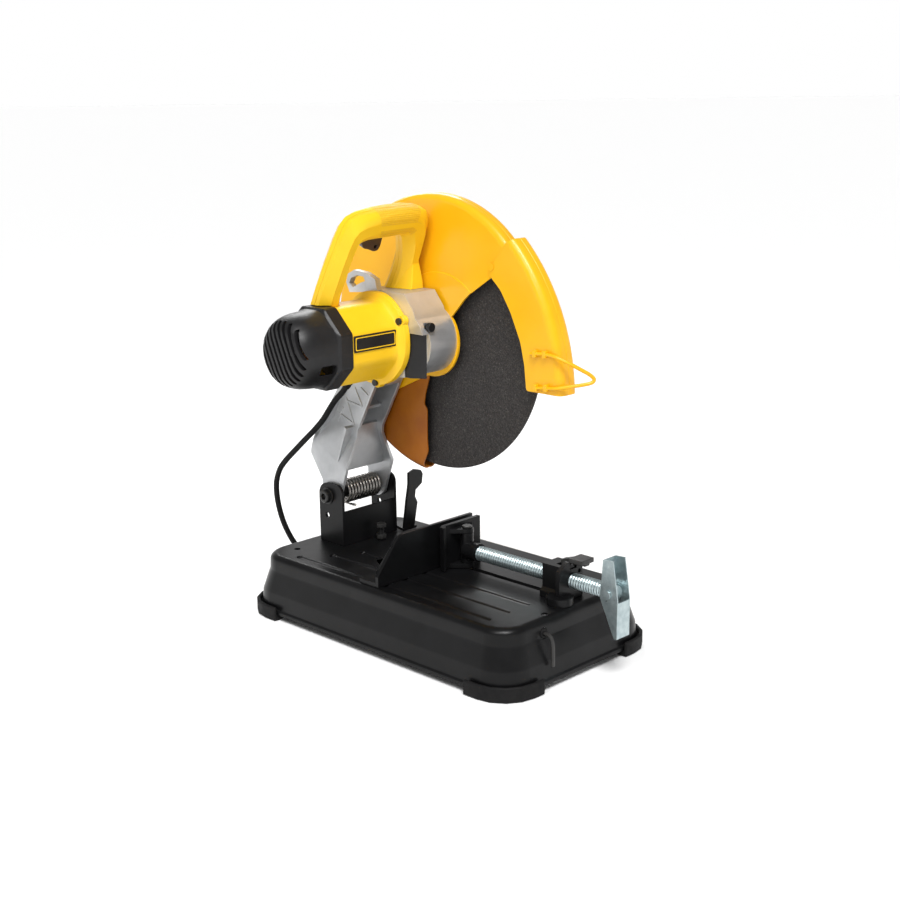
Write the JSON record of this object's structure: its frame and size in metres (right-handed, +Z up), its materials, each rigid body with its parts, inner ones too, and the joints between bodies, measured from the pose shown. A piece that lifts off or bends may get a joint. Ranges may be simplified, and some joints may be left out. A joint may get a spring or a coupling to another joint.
{
  "type": "abrasive chop saw",
  "caption": "Bench abrasive cut-off saw: pressed steel base with screw vise and fence, sprung tilting arm carrying a motor, gear case, D-handle, guards and a large abrasive wheel.",
  "frame": {"origin": "on the floor, under the middle of the machine's box measured without the cord", "axes": "+Z up, +X to the operator's right along the wheel spindle, +Y from the operator to the hinge at the rear"},
  "size_m": [0.378, 0.6545, 0.5595],
  "materials": {
    "black_steel": "satin",
    "black_hardware": "satin",
    "rubber": "matte",
    "yellow_plastic": "satin",
    "yellow_paint": "gloss",
    "cast_aluminium": "cast",
    "zinc_plate": "satin",
    "steel": "satin",
    "spring_steel": "oiled",
    "black_plastic": "satin",
    "brown_plastic": "satin",
    "abrasive": "rough",
    "copper": "satin",
    "iron": "satin"
  },
  "bodies": {
    "base": {"base_pan": "black_steel", "foot_front_left": "rubber", "foot_front_right": "rubber", "foot_rear_left": "rubber", "foot_rear_right": "rubber", "hinge_bracket": "black_steel", "hinge_pin": "black_hardware", "hinge_nut": "black_hardware", "torsion_spring": "spring_steel", "stop_bolt": "black_hardware", "fence_bolt_pivot": "black_hardware", "hex_wrench": "black_hardware", "wrench_grommet": "rubber", "vise_block": "black_steel", "cord": "rubber", "cord_coil": "rubber", "plug": "rubber"},
    "deflector": {"spark_deflector": "black_steel"},
    "fence": {"fence": "black_steel", "fence_bolt_slide": "black_hardware"},
    "nut_lever": {"nut_lever": "black_hardware"},
    "screw_carriage": {"jaw_barrel": "black_steel", "jaw_pin": "black_hardware"},
    "screw": {"vise_screw": "zinc_plate", "crank": "zinc_plate", "crank_rivet": "zinc_plate"},
    "jaw": {"jaw": "black_steel"},
    "arm": {"arm": "cast_aluminium", "gear_case": "cast_aluminium", "air_baffle": "black_plastic", "spindle_bearing": "steel", "upper_guard": "yellow_paint", "rear_guard": "yellow_paint", "motor_housing": "yellow_plastic", "end_cap": "black_plastic", "stator": "iron", "bearing_drive": "steel", "brush_front": "iron", "brush_rear": "iron", "housing_screw_top": "black_hardware", "housing_screw_front": "black_hardware", "housing_screw_bottom": "black_hardware", "handle_front": "yellow_plastic", "handle_rear": "yellow_plastic", "strain_relief": "rubber"},
    "wheel": {"wheel": "abrasive", "inner_flange": "steel", "outer_flange": "steel", "wheel_bolt": "black_hardware", "spindle": "steel", "driven_gear": "iron"},
    "armature": {"armature_shaft": "steel", "armature_core": "iron", "commutator": "copper", "fan": "black_plastic"},
    "trigger": {"trigger": "brown_plastic"},
    "spindle_lock": {"spindle_lock": "black_plastic"},
    "front_guard": {"front_guard": "yellow_paint", "wire_handle": "yellow_paint", "guard_rivet": "zinc_plate"}
  },
  "joints": [
    {"name": "arm_pivot", "type": "hinge", "parent": "base", "child": "arm", "pos_m": [0.0345, 0.2055, 0.15], "axis": [1, 0, 0], "range_deg": [0, 35], "stiffness_Nm_per_rad": 11, "springref_deg": -126.05},
    {"name": "wheel_spin", "type": "hinge", "parent": "arm", "child": "wheel", "pos_m": [0.0785, 0.0755, 0.374], "axis": [1, 0, 0], "continuous": true},
    {"name": "armature_spin", "type": "hinge", "parent": "arm", "child": "armature", "pos_m": [-0.0415, 0.11539, 0.377], "axis": [1, 0, 0], "continuous": true},
    {"name": "trigger_pull", "type": "hinge", "parent": "arm", "child": "trigger", "pos_m": [-0.0435, 0.08732, 0.51333], "axis": [0, -0.9184, -0.3955], "range_deg": [0, 7], "stiffness_Nm_per_rad": 0.6, "springref_deg": -17.19},
    {"name": "spindle_lock_press", "type": "slide", "parent": "arm", "child": "spindle_lock", "axis": [0, 1, 0], "range_m": [0, 0.004], "stiffness_N_per_m": 800, "springref_m": -0.002},
    {"name": "front_guard_swing", "type": "hinge", "parent": "arm", "child": "front_guard", "pos_m": [0.0785, 0.0755, 0.374], "axis": [1, 0, 0], "range_deg": [-35, 0]},
    {"name": "screw_spin", "type": "hinge", "parent": "screw_carriage", "child": "screw", "pos_m": [0.0372, -0.1305, 0.107], "axis": [0, -1, 0], "range_deg": [0, 3375]},
    {"name": "jaw_slide", "type": "slide", "parent": "base", "child": "screw_carriage", "axis": [0, -1, 0], "range_m": [0, 0.075]},
    {"name": "jaw_swivel", "type": "hinge", "parent": "screw_carriage", "child": "jaw", "pos_m": [0.0372, -0.0085, 0.11], "axis": [0, 0, 1], "range_deg": [-4, 4]},
    {"name": "nut_lever_flip", "type": "hinge", "parent": "base", "child": "nut_lever", "pos_m": [0.0372, -0.1765, 0.1293], "axis": [1, 0, 0], "range_deg": [-70, 0]},
    {"name": "fence_swivel", "type": "hinge", "parent": "base", "child": "fence", "pos_m": [0.0645, 0.0335, 0.09], "axis": [0, 0, 1], "range_deg": [-40, 0]},
    {"name": "deflector_tilt", "type": "hinge", "parent": "base", "child": "deflector", "pos_m": [0.0985, 0.1655, 0.084], "axis": [1, 0, 0], "range_deg": [0, 6]}
  ],
  "couplings": [
    {"joint": "armature_spin", "follows": "wheel_spin", "ratio": -4},
    {"joint": "jaw_slide", "follows": "screw_spin", "m_per_rad": 0.0012732}
  ]
}
